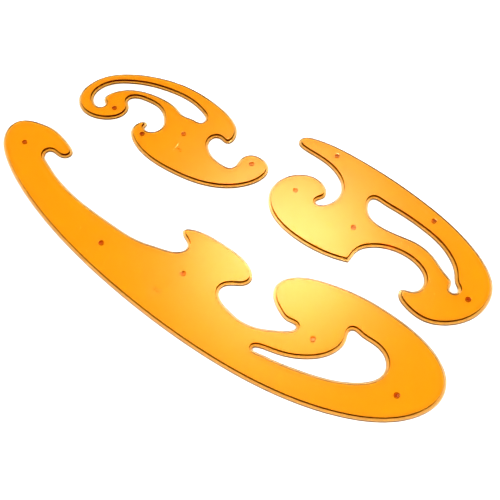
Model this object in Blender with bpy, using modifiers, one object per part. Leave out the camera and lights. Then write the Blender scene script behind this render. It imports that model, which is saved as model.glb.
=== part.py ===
"""A set of three french curves lying flat, each a clear plate with a stepped rim on small lift pips."""
import cmath
import math

import bmesh
import bpy
import numpy as np

mm = 0.001

# Driving dimensions
large_length = 300.0 * mm
medium_length = 151.0 * mm
small_length = 140.0 * mm
plate_thickness = 2.3 * mm
rim_width = 1.5 * mm            # the lowered band along every edge, slots included
rim_thickness = 0.9 * mm
pip_diameter = 2.8 * mm
pip_stand = 0.6 * mm            # how far a pip holds its plate off the paper
pip_seat = 0.7 * mm             # how deep a pip sits in its plate
pip_chamfer = 0.2 * mm
fit_gap = 0.3 * mm

# Fineness of the faceted solids
facets_per_span = 3
pip_facets = 20
closest_points = 0.25 * mm

# The curves spread away from this point when their lengths change, so they never meet
gather_point = complex(10.0, 0.0)

# Outlines in millimetres at the drawn length. A third value of 1 marks a sharp corner.
small_curve = {
    "name": "small_curve",
    "length": small_length,
    "drawn_length": 140.0,
    "outline": [
        (-67.5, 119.9), (-47, 116.2), (-29, 107.8), (-8.5, 90.2), (1.5, 76), (4, 66.5), (2.5, 60),
        (-2, 57), (-4.8, 59.5), (-8, 61.8), (-12, 59.5), (-13.2, 54), (-9.5, 44.5), (-4, 38.8),
        (1.5, 36.8), (4.5, 40), (7.5, 44.8), (12.5, 46.8), (20, 43), (23, 35.5), (19, 28), (10, 23),
        (0, 21.3), (-16, 24), (-34.5, 33.5), (-51.5, 47.5), (-59.5, 60), (-61, 67), (-59, 72.5),
        (-54, 75.2), (-51.8, 73.3), (-53, 70.5), (-51.5, 67.3), (-47.5, 66.5), (-42.5, 70),
        (-41.5, 77), (-45.5, 88), (-54.5, 95), (-62.5, 97.4), (-65.5, 95.5), (-65, 90), (-65, 86),
        (-69, 80.2), (-78.5, 78), (-90.5, 82.7), (-97, 94), (-96.5, 102), (-89.2, 113.3), (-79, 118.6),
    ],
    "slot": [
        (-68, 111.8), (-54.5, 109.5), (-40, 103.5), (-24.5, 92.5), (-17, 82.5), (-15.6, 77),
        (-18, 74.5), (-23, 77), (-29.5, 80.7), (-34, 87), (-42, 95), (-52.5, 101.3), (-67, 104.6),
        (-76.3, 102), (-81, 95.5), (-79.8, 90.5), (-82, 88.7), (-87, 92.5), (-88, 99.5),
        (-82.3, 108.3), (-77, 111),
    ],
    "pips": [(-73.5, 87.5), (-54, 64.5), (-28.5, 64.5), (13, 39.5)],
}
medium_curve = {
    "name": "medium_curve",
    "length": medium_length,
    "drawn_length": 151.0,
    "outline": [
        (46.5, 61.7), (51.5, 60.5), (65, 53), (79, 42), (92, 30.3), (108, 13.5), (122, -4),
        (132.5, -22), (137.5, -37), (137.8, -46), (133, -57.5), (124, -65.5), (110.5, -69.3),
        (98.5, -66.7), (91.3, -59.7), (88.2, -51.5), (89.5, -48.8), (95, -49.6), (101, -47),
        (103, -40.5), (99.2, -31.2), (91, -24.3), (77.5, -21.2), (69.5, -24), (65.8, -28.7),
        (64, -31, 1), (50, -25), (36, -14.5), (25.5, -1), (22.4, 11), (25, 21.5), (32, 28.8),
        (41, 31.3), (51, 28), (55.6, 20), (53.5, 13.4), (50.8, 12.3), (49.2, 10.3), (53.5, 8.2),
        (60.3, 11.5), (64.5, 19), (64, 28), (58.3, 38.8), (50.3, 46.8), (44.3, 52.2), (41.8, 56.5),
        (43, 60.3),
    ],
    "slot": [
        (82, 12.8), (86.3, 10.4), (95.3, 2.4), (106.5, -8.8), (114.7, -19.7), (118.5, -29),
        (119.5, -38), (119, -45), (119.5, -48.5), (117.3, -50.7), (115, -48.5), (116.4, -45.3),
        (114.8, -39), (109.6, -27), (102.3, -18.5), (93, -13), (84.8, -7.6), (79.5, -1.5),
        (78.2, 5), (79.2, 9.8),
    ],
    "pips": [(64, 46), (38, 19), (69, -8), (114, -3.5), (123.5, -54.5)],
}
large_curve = {
    "name": "large_curve",
    "length": large_length,
    "drawn_length": 300.0,
    "outline": [
        (-127, 76.7), (-118, 74), (-109, 69), (-101, 60.5), (-95.5, 52.5), (-94.5, 47.5), (-98, 45),
        (-103.5, 47.5), (-109, 50.2), (-110.6, 48), (-108.5, 41.5), (-100, 28.8), (-85, 12), (-65, -5),
        (-48, -17), (-36, -22), (-26, -24.3), (-22, -22), (-22, -18), (-24.5, -13), (-24.3, -9.8),
        (-21, -9), (-11.3, -12.8), (-2, -19.5), (7.5, -28), (12.8, -37), (12.6, -43), (8.5, -45.7),
        (1, -45.6), (-3, -47.5), (-4, -51.5), (0.5, -60), (8, -67.3), (16, -71), (27, -72.6),
        (33.5, -72.2), (35, -70.8), (31.5, -67.3), (26.7, -61.2), (24, -53), (25.5, -46), (31, -41.8),
        (39, -40.8), (52, -44.2), (68, -51.9), (85.2, -64.8), (98.5, -79.5), (104.2, -91.5),
        (105, -99), (101.3, -108.7), (92, -116), (75, -119.9), (55, -117.7), (25, -107),
        (-10, -86.5), (-44.5, -60), (-70, -37), (-100, -5), (-120.5, 22.3), (-133.3, 45), (-138, 63),
        (-136.5, 70.8), (-133, 75.2),
    ],
    "slot": [
        (13.3, -82.2), (15, -81.6), (20, -83.2), (27, -86), (40, -88), (49.8, -86.3), (56.5, -82),
        (59.7, -76.8), (60.8, -73.6), (62.2, -72.3), (66.5, -75), (73, -80.5), (77, -86.5),
        (77.3, -92), (74.5, -97), (69, -99.8), (62, -100.5), (50, -98.9), (35.5, -94), (23, -88.5),
        (15, -84.5),
    ],
    "pips": [(-124.5, 57.5), (-68.5, -18.5), (-23, -38.5), (43, -77.5), (80.5, -107)],
}


def turning(start, end):
    """Signed angle from one chord to the next."""
    return cmath.phase(end / start)


def handle_reach(leaving, arriving):
    """How far a handle reaches along its chord, for a curve that leaves and arrives at these angles."""
    sine_l, cosine_l = math.sin(leaving), math.cos(leaving)
    sine_a, cosine_a = math.sin(arriving), math.cos(arriving)
    bend = math.sqrt(2) * (sine_l - sine_a / 16) * (sine_a - sine_l / 16) * (cosine_l - cosine_a)
    root5 = math.sqrt(5)
    return (2 + bend) / (3 * (1 + (root5 - 1) / 2 * cosine_l + (3 - root5) / 2 * cosine_a))


def fair_spans(points, closed):
    """Bezier spans of the fairest curve through the points, whose bend changes evenly."""
    count = len(points)
    spans = count if closed else count - 1
    chords = [points[(i + 1) % count] - points[i] for i in range(spans)]
    lengths = [abs(chord) for chord in chords]
    turns = [0.0] * count
    for i in range(count):
        if closed or 0 < i < count - 1:
            turns[i] = turning(chords[i - 1], chords[i % spans])
    rows = np.zeros((count, count))
    totals = np.zeros(count)
    for i in range(count):
        before, after = (i - 1) % count, (i + 1) % count
        if closed or 0 < i < count - 1:
            into, out = lengths[i - 1], lengths[i % spans]
            rows[i, before] += 1 / into
            rows[i, i] += 2 / into + 2 / out
            rows[i, after] += 1 / out
            totals[i] = -2 * turns[i] / into - turns[after] / out
        elif i == 0:
            rows[i, i] = rows[i, after] = 1
            totals[i] = -turns[after]
        else:
            rows[i, before] = rows[i, i] = 1
    leaving = np.linalg.solve(rows, totals)
    result = []
    for i, chord in enumerate(chords):
        after = (i + 1) % count
        start_angle, end_angle = leaving[i], -turns[after] - leaving[after]
        start_handle = points[i] + chord * cmath.rect(handle_reach(start_angle, end_angle), start_angle)
        end_handle = points[after] - chord * cmath.rect(handle_reach(end_angle, start_angle), -end_angle)
        result.append((points[i], start_handle, end_handle, points[after]))
    return result


def fair_loop(marks):
    """Spans of a closed outline, fair between its sharp corners."""
    points = [complex(mark[0], mark[1]) for mark in marks]
    corners = [i for i, mark in enumerate(marks) if len(mark) > 2]
    if not corners:
        return fair_spans(points, True)
    result = []
    for corner, following in zip(corners, corners[1:] + [corners[0] + len(points)]):
        run = [points[i % len(points)] for i in range(corner, following + 1)]
        result += fair_spans(run, False)
    return result


def placed_loop(marks, curve):
    """Points of an outline in metres, at the curve's own length, with the material on their left."""
    points = []
    for p0, p1, p2, p3 in fair_loop(marks):
        for step in range(facets_per_span):
            t = step / facets_per_span
            u = 1 - t
            points.append(u**3 * p0 + 3 * u * u * t * p1 + 3 * u * t * t * p2 + t**3 * p3)
    points = placed(np.array(points), curve)
    area = sum((a.conjugate() * b).imag for a, b in zip(points, np.roll(points, -1))) / 2
    encloses_material = marks is curve["outline"]
    return points if (area > 0) == encloses_material else points[::-1]


def placed(drawn, curve):
    """Drawn millimetres to metres, spread from the gather point by the curve's length."""
    growth = curve["length"] / (curve["drawn_length"] * mm)
    return (gather_point + (drawn - gather_point) * growth) * mm


def distance_to_loop(point, loop):
    """Shortest distance from a point to a closed run of chords."""
    chord = np.roll(loop, -1) - loop
    along = ((point - loop) * chord.conjugate()).real / np.abs(chord) ** 2
    return np.abs(point - loop - np.clip(along, 0, 1) * chord).min()


def inset_loop(loop, distance):
    """The loop moved into the material, without the folds that tight corners would leave."""
    before = loop - np.roll(loop, 1)
    after = np.roll(loop, -1) - loop
    before, after = before / np.abs(before), after / np.abs(after)
    middle = before + after
    middle = middle / np.abs(middle)
    reach = distance / np.maximum((middle * after.conjugate()).real, 0.3)
    moved = loop + middle * 1j * reach
    kept = []
    for point in moved:
        if distance_to_loop(point, loop) < distance * 0.99:
            continue
        if not kept or abs(point - kept[-1]) > closest_points:
            kept.append(point)
    return np.array(kept)


def new_collection(name):
    collection = bpy.data.collections.new(name)
    bpy.context.scene.collection.children.link(collection)
    return collection


def acrylic(name, colour, roughness):
    """A clear moulded plastic in one colour."""
    material = bpy.data.materials.new(name)
    material.use_nodes = True
    shader = material.node_tree.nodes["Principled BSDF"]
    shader.inputs["Base Color"].default_value = (*colour, 1)
    shader.inputs["Roughness"].default_value = roughness
    shader.inputs["Metallic"].default_value = 0.0
    return material


def slab(name, loops, bottom, top, collection):
    """A flat piece with the given edges, as a mesh with its caps welded to its walls."""
    curve = bpy.data.curves.new(name, "CURVE")
    curve.dimensions = "2D"
    curve.fill_mode = "BOTH"
    curve.extrude = (top - bottom) / 2
    for loop in loops:
        spline = curve.splines.new("POLY")
        spline.points.add(len(loop) - 1)
        for knot, point in zip(spline.points, loop):
            knot.co = (point.real, point.imag, 0, 1)
        spline.use_cyclic_u = True
    drawn = bpy.data.objects.new(name + "_drawn", curve)
    drawn.location.z = (top + bottom) / 2
    collection.objects.link(drawn)
    bpy.context.view_layer.update()
    evaluated = drawn.evaluated_get(bpy.context.evaluated_depsgraph_get())
    mesh = bpy.data.meshes.new_from_object(evaluated)
    mesh.name = name
    mesh.materials.clear()
    shape = bmesh.new()
    shape.from_mesh(mesh)
    bmesh.ops.remove_doubles(shape, verts=shape.verts, dist=0.001 * mm)
    bmesh.ops.recalc_face_normals(shape, faces=shape.faces)
    shape.to_mesh(mesh)
    shape.free()
    piece = bpy.data.objects.new(name, mesh)
    piece.matrix_world = drawn.matrix_world
    collection.objects.link(piece)
    bpy.data.objects.remove(drawn)
    return piece


def rounds(name, centres, diameter, bottom, top, collection):
    """Upright round bodies, one on each centre, in one mesh."""
    shape = bmesh.new()
    for centre in centres:
        ring = bmesh.ops.create_cone(
            shape, cap_ends=True, segments=pip_facets,
            radius1=diameter / 2, radius2=diameter / 2, depth=top - bottom,
        )
        bmesh.ops.translate(shape, verts=ring["verts"], vec=(centre.real, centre.imag, (top + bottom) / 2))
    mesh = bpy.data.meshes.new(name)
    shape.to_mesh(mesh)
    shape.free()
    piece = bpy.data.objects.new(name, mesh)
    collection.objects.link(piece)
    return piece


def join_or_cut(piece, other, operation):
    """Boolean the other body into or out of the piece."""
    other.hide_render = True
    other.display_type = "WIRE"
    modifier = piece.modifiers.new(other.name, "BOOLEAN")
    modifier.operation = operation
    modifier.solver = "EXACT"
    modifier.object = other


def make_plate(curve, parts, cutters):
    """The curve itself: a thin web out to the very edge, a thicker field inside the rim, and pip seats."""
    name = curve["name"]
    edges = [placed_loop(curve["outline"], curve), placed_loop(curve["slot"], curve)]
    fields = [inset_loop(edge, rim_width) for edge in edges]
    bottom, top = pip_stand, pip_stand + plate_thickness
    plate = slab(name + "_plate", edges, bottom, bottom + rim_thickness, parts)
    field = slab(name + "_field", fields, bottom + rim_thickness / 2, top, cutters)
    join_or_cut(plate, field, "UNION")
    seat_diameter = pip_diameter + 2 * fit_gap
    seats = rounds(
        name + "_pip_seats", pip_centres(curve), seat_diameter,
        bottom - fit_gap, bottom + pip_seat + fit_gap, cutters,
    )
    join_or_cut(plate, seats, "DIFFERENCE")
    plate.data.materials.append(acrylic(name + "_acrylic", (1.0, 0.36, 0.02), 0.06))
    return plate


def pip_centres(curve):
    return placed(np.array([complex(x, y) for x, y in curve["pips"]]), curve)


def make_pips(curve, parts):
    """Short round feet pressed into the underside, with their lower edge broken."""
    material = acrylic(curve["name"] + "_pip_acrylic", (0.9, 0.25, 0.01), 0.12)
    pips = []
    for number, centre in enumerate(pip_centres(curve), 1):
        name = f"{curve['name']}_pip_{number}"
        pip = rounds(name, [0j], pip_diameter, 0, pip_stand + pip_seat, parts)
        pip.location = (centre.real, centre.imag, 0)
        edge = pip.modifiers.new("broken_edge", "BEVEL")
        edge.width = pip_chamfer
        edge.segments = 1
        edge.limit_method = "ANGLE"
        pip.data.shade_smooth()
        pip.data.set_sharp_from_angle(angle=math.radians(30))
        pip.data.materials.append(material)
        pips.append(pip)
    return pips


def make_curve(curve, parts, cutters):
    """One french curve, under an empty at its first pip that carries it when it is lifted."""
    centre = pip_centres(curve)[0]
    carrier = bpy.data.objects.new(curve["name"], None)
    carrier.location = (centre.real, centre.imag, 0)
    parts.objects.link(carrier)
    bpy.context.view_layer.update()
    pieces = [make_plate(curve, parts, cutters)] + make_pips(curve, parts)
    for piece in pieces:
        piece.parent = carrier
        piece.matrix_parent_inverse = carrier.matrix_world.inverted()


def main():
    for leftover in list(bpy.data.objects):
        bpy.data.objects.remove(leftover)
    parts = new_collection("french_curve_set")
    cutters = new_collection("french_curve_set_helpers")
    for curve in (large_curve, medium_curve, small_curve):
        make_curve(curve, parts, cutters)


main()
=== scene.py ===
import math

import bmesh
import bpy
import numpy as np
from mathutils import Matrix, Vector
from mathutils.kdtree import KDTree


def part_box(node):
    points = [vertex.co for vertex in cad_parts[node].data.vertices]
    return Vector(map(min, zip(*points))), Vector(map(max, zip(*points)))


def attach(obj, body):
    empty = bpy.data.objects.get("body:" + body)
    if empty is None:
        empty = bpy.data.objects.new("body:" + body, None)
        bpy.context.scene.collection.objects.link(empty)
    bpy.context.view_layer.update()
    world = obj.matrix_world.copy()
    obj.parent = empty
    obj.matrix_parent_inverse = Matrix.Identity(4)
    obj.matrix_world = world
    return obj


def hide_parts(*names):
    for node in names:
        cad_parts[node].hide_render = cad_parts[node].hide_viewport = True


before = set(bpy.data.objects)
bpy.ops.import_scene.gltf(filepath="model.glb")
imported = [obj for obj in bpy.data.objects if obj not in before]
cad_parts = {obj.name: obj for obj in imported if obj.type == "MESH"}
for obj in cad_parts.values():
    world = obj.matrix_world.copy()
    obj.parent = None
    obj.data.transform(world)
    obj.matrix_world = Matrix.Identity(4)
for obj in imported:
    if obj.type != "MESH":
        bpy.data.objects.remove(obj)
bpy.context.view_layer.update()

mm = 0.001
curveNames = ["large_curve", "medium_curve", "small_curve"]


def pipNodes(curveName):
    return sorted(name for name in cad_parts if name.startswith(curveName + "_pip_"))


def pipCentres(curveName):
    corners = [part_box(name) for name in pipNodes(curveName)]
    return [Vector(((low.x + high.x) / 2, (low.y + high.y) / 2, low.z)) for low, high in corners]


def pipSize(curveName):
    low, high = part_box(pipNodes(curveName)[0])
    return (high.x - low.x) / 2, high.z - low.z      # radius and height


def newPiece(name, mesh):
    piece = bpy.data.objects.new(name, mesh)
    bpy.context.scene.collection.objects.link(piece)
    return piece


def mathNode(tree, operation, *values):
    node = tree.nodes.new("ShaderNodeMath")
    node.operation = operation
    for socket, value in zip(node.inputs, values):
        if isinstance(value, (int, float)):
            socket.default_value = value
        else:
            tree.links.new(value, socket)
    return node.outputs[0]


def bellCurve(tree, distance, spread):
    across = mathNode(tree, "DIVIDE", distance, spread)
    return mathNode(tree, "EXPONENT", mathNode(tree, "MULTIPLY", mathNode(tree, "POWER", across, 2), -0.5))


def evaluatedMesh(piece, name):
    bpy.context.view_layer.update()
    evaluated = piece.evaluated_get(bpy.context.evaluated_depsgraph_get())
    mesh = bpy.data.meshes.new_from_object(evaluated)
    mesh.name = name
    return mesh


# Edges: the frame's faceted plates give them, and they are drawn again as smooth lines.
# A point of an edge is a complex number, and the plastic is always on an edge's left.

edgeDrawing = {
    "weld": 0.001 * mm,
    "levelSlack": 0.01 * mm,
    "seatSpan": 6 * mm,                   # a closed edge smaller than this is a pip's seat
    "cornerTurn": math.radians(50),       # a sharper turn than this stays a corner
    "fineStep": 0.05 * mm,
    "straightStep": 0.9 * mm,             # longest step between points
    "turnStep": math.radians(7),          # and the most that the edge may turn in one
    "sharpestMitre": 0.4,                 # keeps a moved corner from shooting out
    "insetShare": 0.985,                  # a moved point nearer than this is closed up
}


def edgesAt(node, level):
    shape = bmesh.new()
    shape.from_mesh(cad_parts[node].data)
    bmesh.ops.remove_doubles(shape, verts=shape.verts, dist=edgeDrawing["weld"])
    slack = edgeDrawing["levelSlack"]
    flat = {face for face in shape.faces if all(abs(v.co.z - level) < slack for v in face.verts)}
    following = {}
    for face in flat:
        for corner in face.loops:
            if all(other in flat for other in corner.edge.link_faces):
                continue
            start, end = corner.vert, corner.link_loop_next.vert
            if face.normal.z < 0:
                start, end = end, start
            following[start] = end
    edges = []
    while following:
        start, point = following.popitem()
        chain = [start]
        while point is not start:
            chain.append(point)
            point = following.pop(point)
        edge = np.array([complex(v.co.x, v.co.y) for v in chain])
        first = np.lexsort((edge.imag, edge.real))[0]      # the leftmost, so every run starts there
        edges.append(np.roll(edge, -first))
    shape.free()
    return sorted(edges, key=lambda edge: (len(edge), edge[0].real), reverse=True)


def isLong(edge):
    return max(np.ptp(edge.real), np.ptp(edge.imag)) > edgeDrawing["seatSpan"]


def plateLevels(node):
    # the heights of the underside, the rim and the field
    slack = edgeDrawing["levelSlack"]
    heights = sorted({round(v.co.z / slack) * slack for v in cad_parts[node].data.vertices})
    return [height for height in heights if any(isLong(edge) for edge in edgesAt(node, height))]


def smoothRun(points, closed):
    # a cubic spline through the points, by chord length, read at fine steps
    knots = np.append(points, points[0]) if closed else points
    span = np.abs(np.diff(knots))
    slope = np.diff(knots) / span
    count = len(points)
    rows = np.zeros((count, count))
    pull = np.zeros(count, complex)
    for i in range(count):
        if not closed and i in (0, count - 1):
            rows[i, i] = 1
            continue
        rows[i, i - 1] += span[i - 1]
        rows[i, i] += 2 * (span[i - 1] + span[i])
        rows[i, (i + 1) % count] += span[i]
        pull[i] = 6 * (slope[i] - slope[i - 1])
    bend = np.linalg.solve(rows, pull)
    if closed:
        bend = np.append(bend, bend[0])
    starts = np.concatenate([[0], np.cumsum(span)])
    at = np.linspace(0, starts[-1], round(starts[-1] / edgeDrawing["fineStep"]) + 1)
    i = np.clip(np.searchsorted(starts, at, side="right") - 1, 0, len(span) - 1)
    b = (at - starts[i]) / span[i]
    a = 1 - b
    line = a * knots[i] + b * knots[i + 1]
    return line + ((a**3 - a) * bend[i] + (b**3 - b) * bend[i + 1]) * span[i] ** 2 / 6


def thinned(line):
    # long steps where the line is straight and short ones round its bends
    chords = np.diff(line)
    turns = np.abs(np.angle(chords[1:] / chords[:-1]))
    effort = np.abs(chords) / edgeDrawing["straightStep"]
    effort[1:] += turns / edgeDrawing["turnStep"]
    travelled = np.concatenate([[0], np.cumsum(effort)])
    wanted = np.linspace(0, travelled[-1], math.ceil(travelled[-1]) + 1)[:-1]
    return np.interp(wanted, travelled, line.real) + 1j * np.interp(wanted, travelled, line.imag)


def smoothEdge(points):
    chords = np.roll(points, -1) - points
    turns = np.abs(np.angle(chords / np.roll(chords, 1)))
    corners = np.flatnonzero(turns > edgeDrawing["cornerTurn"])
    if len(corners) == 0:
        return thinned(smoothRun(points, True))
    points = np.roll(points, -corners[0])
    stops = list(corners - corners[0]) + [len(points)]
    looped = np.append(points, points[0])
    runs = [looped[start:stop + 1] for start, stop in zip(stops, stops[1:])]
    return np.concatenate([thinned(smoothRun(run, False)) for run in runs])


def plateEdges(curveName):
    node = curveName + "_plate"
    found = [edge for edge in edgesAt(node, plateLevels(node)[0]) if isLong(edge)]
    return [smoothEdge(edge) for edge in found]


def rimWidthOf(curveName, edge):
    # how far the raised field's own edge lies inside the plate's edge
    tree = KDTree(len(edge))
    for number, point in enumerate(edge):
        tree.insert((point.real, point.imag, 0), number)
    tree.balance()
    node = curveName + "_plate"
    field = max(edgesAt(node, plateLevels(node)[-1]), key=len)
    return float(np.median([tree.find((p.real, p.imag, 0))[2] for p in field]))


def insetEdge(edge, distance):
    # the edge moved into the plastic, point for point, with tight bends closed up
    into = edge - np.roll(edge, 1)
    out = np.roll(edge, -1) - edge
    into, out = into / np.abs(into), out / np.abs(out)
    middle = (into + out) / np.abs(into + out)
    lean = np.maximum((middle * out.conjugate()).real, edgeDrawing["sharpestMitre"])
    moved = edge + 1j * middle * distance / lean
    tree = KDTree(len(edge) * 2)
    halfway = (edge + np.roll(edge, -1)) / 2
    for number, point in enumerate(np.concatenate([edge, halfway])):
        tree.insert((point.real, point.imag, 0), number)
    tree.balance()
    gaps = np.array([tree.find((p.real, p.imag, 0))[2] for p in moved])
    sound = gaps > distance * edgeDrawing["insetShare"]
    places = np.arange(len(edge))
    good = places[sound]
    around = np.concatenate([good - len(edge), good, good + len(edge)])
    real = np.interp(places, around, np.tile(moved.real[sound], 3))
    imaginary = np.interp(places, around, np.tile(moved.imag[sound], 3))
    return real + 1j * imaginary


# Plates: one moulding for each curve, with its section swept along every edge

plateSection = {
    "trueness": 0.05 * mm,         # the wall stands this far inside the frame's edge
    "lowerEdge": 0.1 * mm,         # radii of the section's corners
    "rimEdge": 0.1 * mm,
    "riserFoot": 0.06 * mm,
    "fieldEdge": 0.1 * mm,
    "riserDraft": 0.05 * mm,
    "rimShade": 0.2,               # how much of the walls' painted shade the rim takes, against 1 on the walls
    "arcSteps": 4,
    "seatPlay": 0.05 * mm,
    "roundFacets": 48,
    "sharpAbove": math.radians(40),
}

sinkMark = {"radius": 1.7 * mm, "depth": 0.11 * mm, "steps": 6}      # over each pip
gateMark = {"radius": 1.3 * mm, "depth": 0.08 * mm, "steps": 4}      # where the plastic came in
gatePlaces = {                                                       # from each curve's first pip
    "large_curve": (14 * mm, -12 * mm),
    "medium_curve": (17.3 * mm, -15.6 * mm),
    "small_curve": (28 * mm, 12 * mm),
}


def cornerArc(inset, height, insetTurn, heightTurn, flatShade):
    # a quarter round from a wall of the section to a flat, and how the painted edge shade fades across it
    steps = plateSection["arcSteps"]
    points = []
    for step in range(steps + 1):
        angle = math.pi / 2 * step / steps
        place = (inset + insetTurn * (1 - math.cos(angle)), height + heightTurn * math.sin(angle))
        shade = 1 + (flatShade - 1) * step / steps
        points.append((*place, shade))
    return points


def plateProfile(bottom, rimTop, fieldTop, rimWidth):
    look = plateSection
    wall = look["trueness"]
    lower, rim, foot, field = look["lowerEdge"], look["rimEdge"], look["riserFoot"], look["fieldEdge"]
    riserTop = rimWidth + look["riserDraft"]
    profile = cornerArc(wall, bottom + lower, lower, -lower, 0.0)[::-1]
    profile += cornerArc(wall, rimTop - rim, rim, rim, look["rimShade"])
    profile += cornerArc(rimWidth, rimTop + foot, -foot, -foot, look["rimShade"])[::-1]
    profile += cornerArc(riserTop, fieldTop - field, field, field, 0.0)
    return profile


def ringOf(shape, edge, height, shade=0.0):
    # each point keeps how much painted edge shade its faces take
    layer = shape.verts.layers.float.get("edgeShade") or shape.verts.layers.float.new("edgeShade")
    ring = [shape.verts.new((point.real, point.imag, height)) for point in edge]
    for vertex in ring:
        vertex[layer] = shade
    return ring


def closedEdges(shape, ring):
    return [shape.edges.get(pair) or shape.edges.new(pair) for pair in zip(ring, ring[1:] + ring[:1])]


def wallBetween(shape, lower, upper):
    for i, vertex in enumerate(lower):
        j = (i + 1) % len(lower)
        shape.faces.new((vertex, lower[j], upper[j], upper[i]))


def roundRing(shape, centre, radius, height):
    facets = plateSection["roundFacets"]
    turns = np.exp(-2j * math.pi * np.arange(facets) / facets)      # plastic on the left
    return ringOf(shape, complex(centre.x, centre.y) + radius * turns, height)


def sinkDish(shape, centre, dish, top):
    # a shallow round hollow, as a moulding has over a thick spot; gives back its edge
    steps = dish["steps"]
    rings = []
    for step in range(steps):
        share = 1 - step / steps
        fall = dish["depth"] * (1 + math.cos(math.pi * share)) / 2
        rings.append(roundRing(shape, centre, dish["radius"] * share, top - fall))
    for outer, inner in zip(rings, rings[1:]):
        wallBetween(shape, outer, inner)
    middle = shape.verts.new((centre.x, centre.y, top - dish["depth"]))
    for vertex, beside in zip(rings[-1], rings[-1][1:] + rings[-1][:1]):
        shape.faces.new((vertex, beside, middle))
    return rings[0]


def plateMesh(curveName):
    bottom, rimTop, fieldTop = plateLevels(curveName + "_plate")
    edges = plateEdges(curveName)
    rimWidth = rimWidthOf(curveName, edges[0])
    profile = plateProfile(bottom, rimTop, fieldTop, rimWidth)
    pipRadius, pipHeight = pipSize(curveName)
    shape = bmesh.new()
    lowest, highest = [], []
    for edge in edges:
        rings = [ringOf(shape, insetEdge(edge, inset), height, shade) for inset, height, shade in profile]
        for lower, upper in zip(rings, rings[1:]):
            wallBetween(shape, lower, upper)
        lowest += closedEdges(shape, rings[0])
        highest += closedEdges(shape, rings[-1])
    play = plateSection["seatPlay"]
    for centre in pipCentres(curveName):
        mouth = roundRing(shape, centre, pipRadius + play, bottom)
        roof = roundRing(shape, centre, pipRadius + play, pipHeight + play)
        wallBetween(shape, mouth, roof)
        shape.faces.new(roof)
        lowest += closedEdges(shape, mouth)
        highest += closedEdges(shape, sinkDish(shape, centre, sinkMark, fieldTop))
    gate = pipCentres(curveName)[0] + Vector((*gatePlaces[curveName], 0))
    highest += closedEdges(shape, sinkDish(shape, gate, gateMark, fieldTop))
    for flatEdges in (lowest, highest):
        bmesh.ops.triangle_fill(shape, use_beauty=True, edges=flatEdges)
    bmesh.ops.remove_doubles(shape, verts=shape.verts, dist=edgeDrawing["weld"])
    bmesh.ops.recalc_face_normals(shape, faces=shape.faces)
    mesh = bpy.data.meshes.new(curveName + "_moulding")
    shape.to_mesh(mesh)
    shape.free()
    mesh.shade_smooth()
    mesh.set_sharp_from_angle(angle=plateSection["sharpAbove"])
    return mesh


# Size marks: plain numerals sunk into the field beside each curve's third pip

sizeMarks = {
    "large_curve": {"lines": "300", "aside": (-12.5 * mm, -11 * mm), "turn": math.radians(144)},
    "medium_curve": {"lines": "151", "aside": (-13.5 * mm, 1.5 * mm), "turn": math.radians(-42)},
    "small_curve": {"lines": "140", "aside": (-2.5 * mm, -14 * mm), "turn": math.radians(-42)},
    "height": 3.6 * mm,
    "depth": 0.25 * mm,
    # the sunk numerals take the walls' full painted shade, so they are drawn dark
    "shade": 1.0,
    "curveSteps": 4,
}


def markCutter(curveName, top):
    mark = sizeMarks[curveName]
    letters = bpy.data.curves.new(curveName + "_mark", "FONT")
    letters.body = mark["lines"]
    letters.size = sizeMarks["height"]
    letters.align_x = "CENTER"
    letters.align_y = "CENTER"
    letters.extrude = sizeMarks["depth"]
    letters.resolution_u = sizeMarks["curveSteps"]
    drawn = newPiece(curveName + "_mark_drawn", letters)
    mesh = evaluatedMesh(drawn, curveName + "_mark")
    bpy.data.objects.remove(drawn)
    beside = pipCentres(curveName)[2]
    place = Vector((beside.x + mark["aside"][0], beside.y + mark["aside"][1], top))
    mesh.transform(Matrix.Translation(place) @ Matrix.Rotation(mark["turn"], 4, "Z"))
    shape = bmesh.new()
    shape.from_mesh(mesh)
    bmesh.ops.remove_doubles(shape, verts=shape.verts, dist=edgeDrawing["weld"])
    bmesh.ops.recalc_face_normals(shape, faces=shape.faces)
    # painted shade: the numerals' faces are marked to take the walls' full dark tint
    layer = shape.verts.layers.float.new("edgeShade")
    for vertex in shape.verts:
        vertex[layer] = sizeMarks["shade"]
    shape.to_mesh(mesh)
    shape.free()
    return newPiece(curveName + "_mark_cutter", mesh)


def makePlate(curveName, material):
    name = curveName + "_plate"
    rough = newPiece(name + "_uncut", plateMesh(curveName))
    cutter = markCutter(curveName, plateLevels(name)[-1])
    cut = rough.modifiers.new("marks", "BOOLEAN")
    cut.operation = "DIFFERENCE"
    cut.solver = "EXACT"
    cut.object = cutter
    evenShine = rough.modifiers.new("evenShine", "WEIGHTED_NORMAL")
    evenShine.keep_sharp = True
    mesh = evaluatedMesh(rough, name + "_moulding")
    for helper in (rough, cutter):
        bpy.data.objects.remove(helper)
    mesh.materials.clear()
    mesh.materials.append(material)
    plate = newPiece(curveName + "_moulding", mesh)
    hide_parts(name)
    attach(plate, curveName)
    print("plate", curveName, len(mesh.vertices), "points")
    return plate


# Pips: one turned foot, set on each of a curve's pip centres by Geometry Nodes

pipLook = {
    "footRound": 0.2 * mm,
    "roundSteps": 3,
    "facets": 48,
    "sharpAbove": math.radians(35),
}


def addSocket(tree, name, kind, direction="INPUT"):
    return tree.interface.new_socket(name=name, in_out=direction, socket_type=kind)


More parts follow.
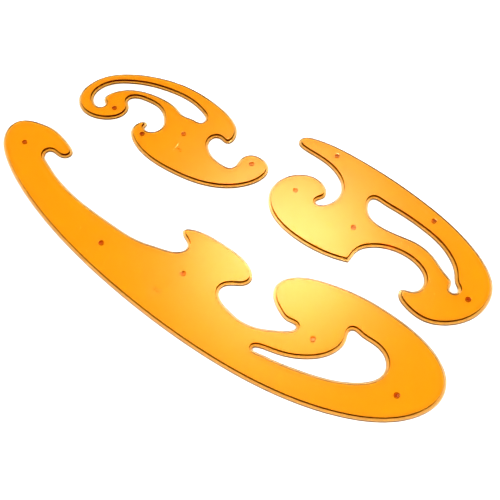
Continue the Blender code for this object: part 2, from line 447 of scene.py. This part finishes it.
def pipTree():
    tree = bpy.data.node_groups.new("pipsOnPoints", "GeometryNodeTree")
    addSocket(tree, "Points", "NodeSocketGeometry")
    addSocket(tree, "Radius", "NodeSocketFloat")
    addSocket(tree, "Height", "NodeSocketFloat")
    addSocket(tree, "Foot Round", "NodeSocketFloat")
    addSocket(tree, "Material", "NodeSocketMaterial")
    addSocket(tree, "Pips", "NodeSocketGeometry", "OUTPUT")
    nodes, links = tree.nodes, tree.links
    given = nodes.new("NodeGroupInput")
    result = nodes.new("NodeGroupOutput")

    shank = nodes.new("GeometryNodeMeshCylinder")
    shank.fill_type = "NGON"
    shank.inputs["Vertices"].default_value = pipLook["facets"]
    links.new(given.outputs["Radius"], shank.inputs["Radius"])
    shankHeight = mathNode(tree, "SUBTRACT", given.outputs["Height"], given.outputs["Foot Round"])
    links.new(shankHeight, shank.inputs["Depth"])
    geometry = shank.outputs["Mesh"]
    chosen = shank.outputs["Bottom"]
    steps = pipLook["roundSteps"]
    inwardBefore, downBefore = 0.0, 0.0
    for step in range(1, steps + 1):
        # each step of the rounded foot is the lowest face pulled down and drawn in
        angle = math.pi / 2 * step / steps
        inward, down = 1 - math.cos(angle), math.sin(angle)
        pull = nodes.new("GeometryNodeExtrudeMesh")
        pull.mode = "FACES"
        links.new(geometry, pull.inputs["Mesh"])
        links.new(chosen, pull.inputs["Selection"])
        drop = mathNode(tree, "MULTIPLY", given.outputs["Foot Round"], down - downBefore)
        links.new(drop, pull.inputs["Offset Scale"])
        drawnIn = mathNode(tree, "MULTIPLY", given.outputs["Foot Round"], inwardBefore)
        before = mathNode(tree, "SUBTRACT", given.outputs["Radius"], drawnIn)
        drawnIn = mathNode(tree, "MULTIPLY", given.outputs["Foot Round"], inward)
        after = mathNode(tree, "SUBTRACT", given.outputs["Radius"], drawnIn)
        draw = nodes.new("GeometryNodeScaleElements")
        links.new(pull.outputs["Mesh"], draw.inputs["Geometry"])
        links.new(pull.outputs["Top"], draw.inputs["Selection"])
        links.new(mathNode(tree, "DIVIDE", after, before), draw.inputs["Scale"])
        geometry, chosen = draw.outputs["Geometry"], pull.outputs["Top"]
        inwardBefore, downBefore = inward, down
    lift = nodes.new("GeometryNodeTransform")
    raised = nodes.new("ShaderNodeCombineXYZ")
    halfShank = mathNode(tree, "MULTIPLY", shankHeight, 0.5)
    links.new(mathNode(tree, "ADD", halfShank, given.outputs["Foot Round"]), raised.inputs["Z"])
    links.new(geometry, lift.inputs["Geometry"])
    links.new(raised.outputs["Vector"], lift.inputs["Translation"])
    place = nodes.new("GeometryNodeInstanceOnPoints")
    links.new(given.outputs["Points"], place.inputs["Points"])
    links.new(lift.outputs["Geometry"], place.inputs["Instance"])
    real = nodes.new("GeometryNodeRealizeInstances")
    links.new(place.outputs["Instances"], real.inputs["Geometry"])
    coat = nodes.new("GeometryNodeSetMaterial")
    links.new(real.outputs["Geometry"], coat.inputs["Geometry"])
    links.new(given.outputs["Material"], coat.inputs["Material"])
    links.new(coat.outputs["Geometry"], result.inputs["Pips"])
    return tree


def setInput(modifier, name, value):
    for item in modifier.node_group.interface.items_tree:
        if item.item_type == "SOCKET" and item.in_out == "INPUT" and item.name == name:
            modifier[item.identifier] = value


def makePips(curveName, tree, material):
    points = bpy.data.meshes.new(curveName + "_pip_points")
    points.from_pydata([tuple(centre) for centre in pipCentres(curveName)], [], [])
    carrier = newPiece(curveName + "_pip_carrier", points)
    radius, height = pipSize(curveName)
    modifier = carrier.modifiers.new("pips", "NODES")
    modifier.node_group = tree
    setInput(modifier, "Radius", radius)
    setInput(modifier, "Height", height)
    setInput(modifier, "Foot Round", pipLook["footRound"])
    setInput(modifier, "Material", material)
    mesh = evaluatedMesh(carrier, curveName + "_pips")
    bpy.data.objects.remove(carrier)
    mesh.shade_smooth()
    mesh.set_sharp_from_angle(angle=pipLook["sharpAbove"])
    pips = newPiece(curveName + "_pips", mesh)
    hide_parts(*pipNodes(curveName))
    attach(pips, curveName)
    print("pips", curveName, len(mesh.vertices), "points")
    return pips


# Materials

def mappedRange(tree, value, low, high, toLow=0.0, toHigh=1.0):
    node = tree.nodes.new("ShaderNodeMapRange")
    tree.links.new(value, node.inputs["Value"])
    for name, bound in zip(("From Min", "From Max", "To Min", "To Max"), (low, high, toLow, toHigh)):
        node.inputs[name].default_value = bound
    return node.outputs["Result"]


def noiseOver(tree, coordinates, size, detail=2.0, stretch=None, turn=0.0):
    # noise whose features are about this size, drawn out and turned where asked
    if stretch:
        mapping = tree.nodes.new("ShaderNodeMapping")
        mapping.inputs["Rotation"].default_value = (0, 0, turn)
        mapping.inputs["Scale"].default_value = stretch
        tree.links.new(coordinates, mapping.inputs["Vector"])
        coordinates = mapping.outputs["Vector"]
    noise = tree.nodes.new("ShaderNodeTexNoise")
    noise.inputs["Scale"].default_value = 1 / size
    noise.inputs["Detail"].default_value = detail
    tree.links.new(coordinates, noise.inputs["Vector"])
    return noise.outputs["Fac"]


surfaceLook = {
    "rippleSize": 16 * mm,
    "hazeSize": 11 * mm,
    "hazeFrom": 0.4,
    "hazeTo": 0.7,
    "scratchSize": 0.5 * mm,
    "scratchStretch": (1.0, 0.02, 1.0),
    "scratchTurns": (math.radians(25), math.radians(-70)),
    "scratchFrom": 0.68,
    "scratchTo": 0.74,
    "speckSize": 1.7 * mm,
    "speckReach": 0.09,                # of the space between specks
    "wornRoughness": 0.3,
    "coatRefraction": 1.05,            # the walls' coat only darkens them, as painted shade, it adds no shine
}


def mouldedSurfaceAndEdgeShade():
    # what handling and the mould leave on the plastic: ripple, haze, fine scratches and specks; and the
    # painted shade of the walls, as a darker colour and a tinting coat
    tree = bpy.data.node_groups.new("mouldedSurfaceAndEdgeShade", "ShaderNodeTree")
    for name in ("Roughness", "Haze", "Scratches", "Ripple", "Edge Shade", "Edge Haze"):
        addSocket(tree, name, "NodeSocketFloat")
    addSocket(tree, "Clear Color", "NodeSocketColor")
    addSocket(tree, "Edge Shade Color", "NodeSocketColor")
    addSocket(tree, "Color", "NodeSocketColor", "OUTPUT")
    addSocket(tree, "Roughness", "NodeSocketFloat", "OUTPUT")
    addSocket(tree, "Height", "NodeSocketFloat", "OUTPUT")
    addSocket(tree, "Edge Shade Coat", "NodeSocketFloat", "OUTPUT")
    given = tree.nodes.new("NodeGroupInput").outputs
    result = tree.nodes.new("NodeGroupOutput").inputs
    place = tree.nodes.new("ShaderNodeTexCoord").outputs["Object"]
    look = surfaceLook
    patches = noiseOver(tree, place, look["hazeSize"], 4.0)
    haze = mappedRange(tree, patches, look["hazeFrom"], look["hazeTo"])
    lines = []
    for turn in look["scratchTurns"]:
        streaks = noiseOver(tree, place, look["scratchSize"], 1.0, look["scratchStretch"], turn)
        lines.append(mappedRange(tree, streaks, look["scratchFrom"], look["scratchTo"]))
    scratches = mathNode(tree, "MAXIMUM", *lines)
    cells = tree.nodes.new("ShaderNodeTexVoronoi")
    cells.inputs["Scale"].default_value = 1 / look["speckSize"]
    tree.links.new(place, cells.inputs["Vector"])
    specks = mappedRange(tree, cells.outputs["Distance"], 0.0, look["speckReach"], 1.0, 0.0)
    ripple = noiseOver(tree, place, look["rippleSize"], 1.0)

    rough = mathNode(tree, "MULTIPLY_ADD", haze, given["Haze"], given["Roughness"])
    worn = mathNode(tree, "MULTIPLY", mathNode(tree, "MAXIMUM", scratches, specks), given["Scratches"])
    edgeHaze = mathNode(tree, "MULTIPLY", given["Edge Shade"], given["Edge Haze"])
    wornRough = mathNode(tree, "MULTIPLY", worn, look["wornRoughness"])
    rough = mathNode(tree, "ADD", mathNode(tree, "ADD", rough, edgeHaze), wornRough)
    tree.links.new(rough, result["Roughness"])
    height = mathNode(tree, "SUBTRACT", mathNode(tree, "MULTIPLY", ripple, given["Ripple"]), worn)
    tree.links.new(height, result["Height"])

    # painted shade: the stored edge shade mixes the clear colour towards the dark edge colour
    blend = tree.nodes.new("ShaderNodeMix")
    blend.data_type = "RGBA"
    tree.links.new(given["Edge Shade"], blend.inputs["Factor"])
    colours = [socket for socket in blend.inputs if socket.type == "RGBA"]
    tree.links.new(given["Clear Color"], colours[0])
    tree.links.new(given["Edge Shade Color"], colours[1])
    mixed = [socket for socket in blend.outputs if socket.type == "RGBA"][0]
    tree.links.new(mixed, result["Color"])
    tree.links.new(given["Edge Shade"], result["Edge Shade Coat"])
    return tree


def acrylic(name, look, surface):
    material = bpy.data.materials.new(name)
    material.use_nodes = True
    nodes, links = material.node_tree.nodes, material.node_tree.links
    shader = nodes["Principled BSDF"]
    skin = nodes.new("ShaderNodeGroup")
    skin.node_tree = surface
    skin.inputs["Clear Color"].default_value = (*look["surface"], 1)
    skin.inputs["Edge Shade Color"].default_value = (*look["edge"], 1)
    for socket in ("Roughness", "Haze", "Scratches", "Ripple", "Edge Haze"):
        skin.inputs[socket].default_value = look["skin"][socket]
    # painted shade: the stored edgeShade darkens walls, rim and numerals through the colour and the coat
    shade = nodes.new("ShaderNodeAttribute")
    shade.attribute_name = "edgeShade"
    links.new(shade.outputs["Fac"], skin.inputs["Edge Shade"])
    links.new(skin.outputs["Color"], shader.inputs["Base Color"])
    links.new(skin.outputs["Roughness"], shader.inputs["Roughness"])
    bump = nodes.new("ShaderNodeBump")
    bump.inputs["Strength"].default_value = look["bumpStrength"]
    bump.inputs["Distance"].default_value = look["bumpDepth"]
    links.new(skin.outputs["Height"], bump.inputs["Height"])
    links.new(bump.outputs["Normal"], shader.inputs["Normal"])
    shader.inputs["Metallic"].default_value = 0.0
    shader.inputs["Transmission Weight"].default_value = 1.0
    shader.inputs["IOR"].default_value = look["refraction"]
    # painted shade: a coat that tints light crossing the walls dark red
    links.new(skin.outputs["Edge Shade Coat"], shader.inputs["Coat Weight"])
    shader.inputs["Coat Tint"].default_value = (*look["edgeShadeCoat"], 1)
    shader.inputs["Coat IOR"].default_value = surfaceLook["coatRefraction"]
    shader.inputs["Specular Tint"].default_value = (*look["shineTint"], 1)
    # painted glow: the plastic gives out a faint even light of its own, standing in for fluorescence
    shader.inputs["Emission Color"].default_value = (*look["glow"], 1)
    shader.inputs["Emission Strength"].default_value = look["paintedGlowStrength"]
    inside = nodes.new("ShaderNodeVolumeAbsorption")
    inside.inputs["Color"].default_value = (*look["body"], 1)
    inside.inputs["Density"].default_value = look["strength"]
    links.new(inside.outputs["Volume"], nodes["Material Output"].inputs["Volume"])
    return material


orangeAcrylic = {
    "surface": (1.0, 1.0, 1.0),
    "edge": (0.5, 0.15, 0.05),       # painted shade on the walls, mixed into the base colour to draw them as dark lines
    "edgeShadeCoat": (0.34, 0.02, 0.005),
    "body": (0.99, 0.805, 0.0),       # what is left of each colour, against the strength
    "strength": 1100.0,               # lost per metre where nothing is left
    "refraction": 1.49,
    "shineTint": (0.5, 0.3, 0.12),
    "skin": {"Roughness": 0.015, "Haze": 0.03, "Scratches": 0.5, "Ripple": 1.0, "Edge Haze": 0.1},
    "bumpStrength": 0.3,
    "bumpDepth": 0.05 * mm,
    "glow": (1.0, 0.1, 0.0),          # painted glow: an even emission of the plastic's own, standing in for the dye's fluorescence
    "paintedGlowStrength": 0.035,
}

# the pips' denser, darker dye is partly painted shade: beyond their orange, it darkens them into the dark
# spots that refraction and contact shade give the real pips
pipAcrylic = {
    "surface": (1.0, 0.9, 0.8),
    "edge": (0.5, 0.15, 0.05),
    "edgeShadeCoat": (0.34, 0.02, 0.005),
    "body": (0.88, 0.5, 0.0),
    "strength": 2600.0,
    "refraction": 1.49,
    "shineTint": (0.5, 0.3, 0.12),
    "skin": {"Roughness": 0.12, "Haze": 0.1, "Scratches": 1.0, "Ripple": 0.5, "Edge Haze": 0.0},
    "bumpStrength": 0.3,
    "bumpDepth": 0.05 * mm,
    # painted glow, as on the plates
    "glow": (1.0, 0.1, 0.0),
    "paintedGlowStrength": 0.02,
}

plasticSkinAndEdgeShade = mouldedSurfaceAndEdgeShade()
plateMaterial = acrylic("orangeAcrylic", orangeAcrylic, plasticSkinAndEdgeShade)
pipMaterial = acrylic("pipAcrylic", pipAcrylic, plasticSkinAndEdgeShade)
pipsOnPoints = pipTree()
for curveName in curveNames:
    makePlate(curveName, plateMaterial)
    makePips(curveName, pipsOnPoints, pipMaterial)


# Floor, light and camera

stageLook = {
    "floorSpan": 6.0,
    "floorDrop": 0.02 * mm,
    "floorColour": (0.82, 0.82, 0.81),
    "floorRoughness": 0.9,
    "floorShine": 0.1,
    "roomLight": 3.15,
    "dark": {"towards": (0.02, 0.60, 0.80), "light": 0.1, "inside": 27, "outside": 45},
    "lamp": {"towards": (0.050, 0.576, 0.816), "light": 37.0, "colour": (1, 1, 0.85), "spread": 4.6},
}


def makeFloor():
    half = stageLook["floorSpan"] / 2
    mesh = bpy.data.meshes.new("floor")
    corners = [(-half, -half), (half, -half), (half, half), (-half, half)]
    mesh.from_pydata([(x, y, -stageLook["floorDrop"]) for x, y in corners], [], [(0, 1, 2, 3)])
    material = bpy.data.materials.new("floorPaper")
    material.use_nodes = True
    shader = material.node_tree.nodes["Principled BSDF"]
    shader.inputs["Base Color"].default_value = (*stageLook["floorColour"], 1)
    shader.inputs["Roughness"].default_value = stageLook["floorRoughness"]
    shader.inputs["Specular IOR Level"].default_value = stageLook["floorShine"]
    mesh.materials.append(material)
    floor = newPiece("floor", mesh)


def makeRoomLight():
    # an even bright room, dark overhead behind the curves but for one soft lamp there
    world = bpy.data.worlds.new("studio")
    bpy.context.scene.world = world
    world.use_nodes = True
    tree = world.node_tree
    nodes, links = tree.nodes, tree.links
    looking = nodes.new("ShaderNodeTexCoord").outputs["Generated"]

    def angleFrom(towards):
        node = nodes.new("ShaderNodeVectorMath")
        node.operation = "DOT_PRODUCT"
        node.inputs[1].default_value = Vector(towards).normalized()
        links.new(looking, node.inputs[0])
        return mathNode(tree, "ARCCOSINE", node.outputs["Value"])

    dark, lamp = stageLook["dark"], stageLook["lamp"]
    fade = nodes.new("ShaderNodeMapRange")
    fade.interpolation_type = "SMOOTHSTEP"
    links.new(angleFrom(dark["towards"]), fade.inputs["Value"])
    fade.inputs["From Min"].default_value = math.radians(dark["inside"])
    fade.inputs["From Max"].default_value = math.radians(dark["outside"])
    fade.inputs["To Min"].default_value = dark["light"]
    fade.inputs["To Max"].default_value = stageLook["roomLight"]
    glow = bellCurve(tree, angleFrom(lamp["towards"]), math.radians(lamp["spread"]))
    tint = nodes.new("ShaderNodeMix")
    tint.data_type = "RGBA"
    tint.blend_type = "ADD"
    tint.clamp_result = False
    links.new(mathNode(tree, "MULTIPLY", glow, lamp["light"]), tint.inputs["Factor"])
    links.new(fade.outputs["Result"], tint.inputs["A"])
    tint.inputs["B"].default_value = (*lamp["colour"], 1)
    tint.clamp_factor = False
    links.new(tint.outputs["Result"], nodes["Background"].inputs["Color"])


cameraLook = {
    "lens": 49.67,
    "sensor": 36.0,
    "nearest": 0.01,
    "farthest": 20.0,
    "place": (0.012064, -0.241154, 0.301469),
    "tilt": math.radians(36),               # up from looking straight down
}


def makeCamera():
    camera = bpy.data.cameras.new("camera")
    camera.lens = cameraLook["lens"]
    camera.sensor_width = cameraLook["sensor"]
    camera.clip_start = cameraLook["nearest"]
    camera.clip_end = cameraLook["farthest"]
    view = bpy.data.objects.new("camera", camera)
    view.location = cameraLook["place"]
    view.rotation_euler = (cameraLook["tilt"], 0, 0)
    bpy.context.scene.collection.objects.link(view)
    bpy.context.scene.camera = view


makeFloor()
makeRoomLight()
makeCamera()
bpy.context.scene.view_settings.view_transform = "Standard"
print("stage, light and camera set")
